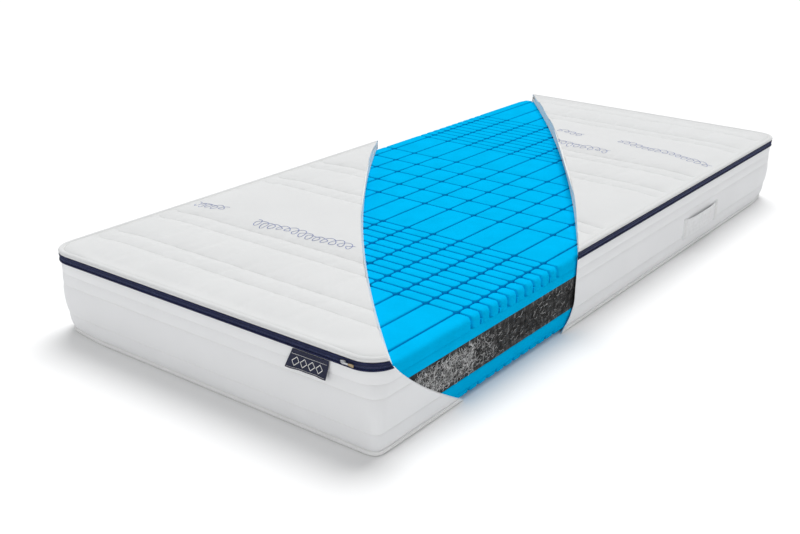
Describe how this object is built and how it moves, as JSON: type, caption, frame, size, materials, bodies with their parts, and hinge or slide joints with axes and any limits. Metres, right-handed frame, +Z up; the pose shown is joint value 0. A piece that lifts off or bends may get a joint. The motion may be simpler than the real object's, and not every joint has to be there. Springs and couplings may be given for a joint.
{
  "type": "memory foam mattress",
  "caption": "Single mattress with a zip-off quilted cover cut open on a diagonal window that shows slotted foam over and under a fibre pad; side handles and a hanging label.",
  "frame": {"origin": "at floor level under the middle of the mattress's length and width", "axes": "+Y along the length towards the head end, +X across the width towards the side with the near handle, +Z up"},
  "size_m": [0.9196, 2.0049, 0.2],
  "materials": {
    "quilted_border": "soft knitted white ticking, quilted, matte",
    "knit_ticking": "soft knitted white ticking, matte",
    "bottom_fabric": "white non-slip quilted fabric, matte",
    "binding_tape": "white woven binding tape",
    "fibre_wadding": "white polyester fibre wadding, fluffy",
    "lining_fleece": "white non-woven fleece",
    "navy_piping": "navy woven piping",
    "navy_zip_tape": "navy woven zip tape",
    "navy_zip_coil": "navy nylon zip coil",
    "blue_foam": "bright blue open-cell foam, matte",
    "charcoal_fibre": "charcoal fibre pad with paler curled strands",
    "handle_webbing": "off-white ribbed webbing",
    "label_cloth": "navy woven label, satin",
    "zip_metal": "bright silver die-cast zip metal"
  },
  "bodies": {
    "lower_cover": {"foot_border": "quilted_border", "head_border": "quilted_border", "foot_bottom_panel": "bottom_fabric", "head_bottom_panel": "bottom_fabric", "foot_bottom_binding": "binding_tape", "head_bottom_binding": "binding_tape", "foot_lower_piping": "navy_piping", "head_lower_piping": "navy_piping", "foot_lower_zip_tape": "navy_zip_tape", "head_lower_zip_tape": "navy_zip_tape", "foot_lower_zip_coil": "navy_zip_coil", "head_lower_zip_coil": "navy_zip_coil", "near_handle_tabs": "handle_webbing", "far_handle_tabs": "handle_webbing"},
    "core": {"bottom_foam": "blue_foam", "fibre_pad": "charcoal_fibre", "top_foam": "blue_foam"},
    "top_cover_foot": {"foot_top_ticking": "knit_ticking", "foot_top_wadding": "fibre_wadding", "foot_top_lining": "lining_fleece", "foot_upper_piping": "navy_piping", "foot_upper_zip_tape": "navy_zip_tape", "foot_upper_zip_coil": "navy_zip_coil"},
    "top_cover_head": {"head_top_ticking": "knit_ticking", "head_top_wadding": "fibre_wadding", "head_top_lining": "lining_fleece", "head_upper_piping": "navy_piping", "head_upper_zip_tape": "navy_zip_tape", "head_upper_zip_coil": "navy_zip_coil"},
    "slider": {"zip_slider": "zip_metal"},
    "pull": {"zip_pull": "zip_metal"},
    "label": {"woven_label": "label_cloth"},
    "near_strap": {"near_handle_strap": "handle_webbing"},
    "far_strap": {"far_handle_strap": "handle_webbing"}
  },
  "joints": [
    {"name": "core_lift", "type": "slide", "parent": "lower_cover", "child": "core", "axis": [0, 0, 1], "range_m": [0, 0.2]},
    {"name": "top_cover_foot_lift", "type": "slide", "parent": "core", "child": "top_cover_foot", "axis": [0, 0, 1], "range_m": [0, 0.1]},
    {"name": "top_cover_head_lift", "type": "slide", "parent": "core", "child": "top_cover_head", "axis": [0, 0, 1], "range_m": [0, 0.1]},
    {"name": "zip_run", "type": "slide", "parent": "lower_cover", "child": "slider", "axis": [-1, 0, 0], "range_m": [0, 0.755]},
    {"name": "pull_swing", "type": "hinge", "parent": "slider", "child": "pull", "pos_m": [0.373, -1.0031, 0.1725], "axis": [0, 0, -1], "range_deg": [0, 165]},
    {"name": "label_flap", "type": "hinge", "parent": "lower_cover", "child": "label", "pos_m": [0.29, -0.9983, 0.1628], "axis": [-1, 0, 0], "range_deg": [0, 60]},
    {"name": "near_handle_pull", "type": "slide", "parent": "lower_cover", "child": "near_strap", "axis": [1, 0, 0], "range_m": [0, 0.025], "stiffness_N_per_m": 200},
    {"name": "far_handle_pull", "type": "slide", "parent": "lower_cover", "child": "far_strap", "axis": [-1, 0, 0], "range_m": [0, 0.025], "stiffness_N_per_m": 200}
  ]
}
